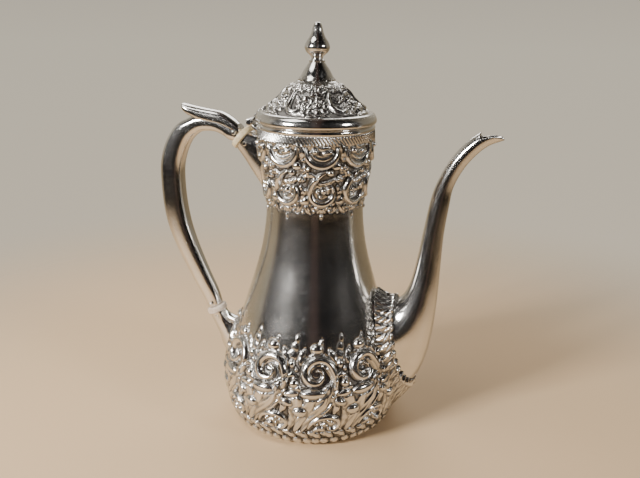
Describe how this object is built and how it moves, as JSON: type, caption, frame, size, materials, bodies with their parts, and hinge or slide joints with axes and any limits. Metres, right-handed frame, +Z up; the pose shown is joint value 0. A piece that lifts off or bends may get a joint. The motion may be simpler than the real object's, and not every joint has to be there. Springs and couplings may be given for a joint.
{
  "type": "silver coffee pot",
  "caption": "Tall pear-shaped silver coffee pot with a hinged domed lid, a swan-neck spout and a loop handle held by ivory-coloured heat breaks.",
  "frame": {"origin": "centre of the foot, on the table", "axes": "+Z up, +X towards the spout, handle at -X"},
  "size_m": [0.2075, 0.1106, 0.24],
  "materials": {
    "silver": "polished silver, darkened in the chased recesses",
    "ivory": "satin cream"
  },
  "bodies": {
    "pot": {"body_shell": "silver", "bottom_plate": "silver", "mouth_rim": "silver", "spout_tube": "silver", "spout_leaf_mount": "silver", "spout_strainer": "silver", "handle_tube": "silver", "thumb_rest": "silver", "upper_socket": "silver", "upper_insulator": "ivory", "upper_insulator_pins": "silver", "lower_socket": "silver", "lower_socket_leaf": "silver", "lower_insulator": "ivory", "lower_insulator_pins": "silver", "body_hinge_leaf": "silver", "hinge_pin": "silver"},
    "lid": {"lid_dome": "silver", "lid_rim": "silver", "lid_bezel": "silver", "lid_hinge_leaf": "silver", "finial_collar": "silver", "finial": "silver", "finial_washer": "silver", "finial_nut": "silver"}
  },
  "joints": [
    {"name": "lid_hinge", "type": "hinge", "parent": "pot", "child": "lid", "pos_m": [-0.0386, 0, 0.1831], "axis": [0, -1, 0], "range_deg": [0, 95]}
  ]
}
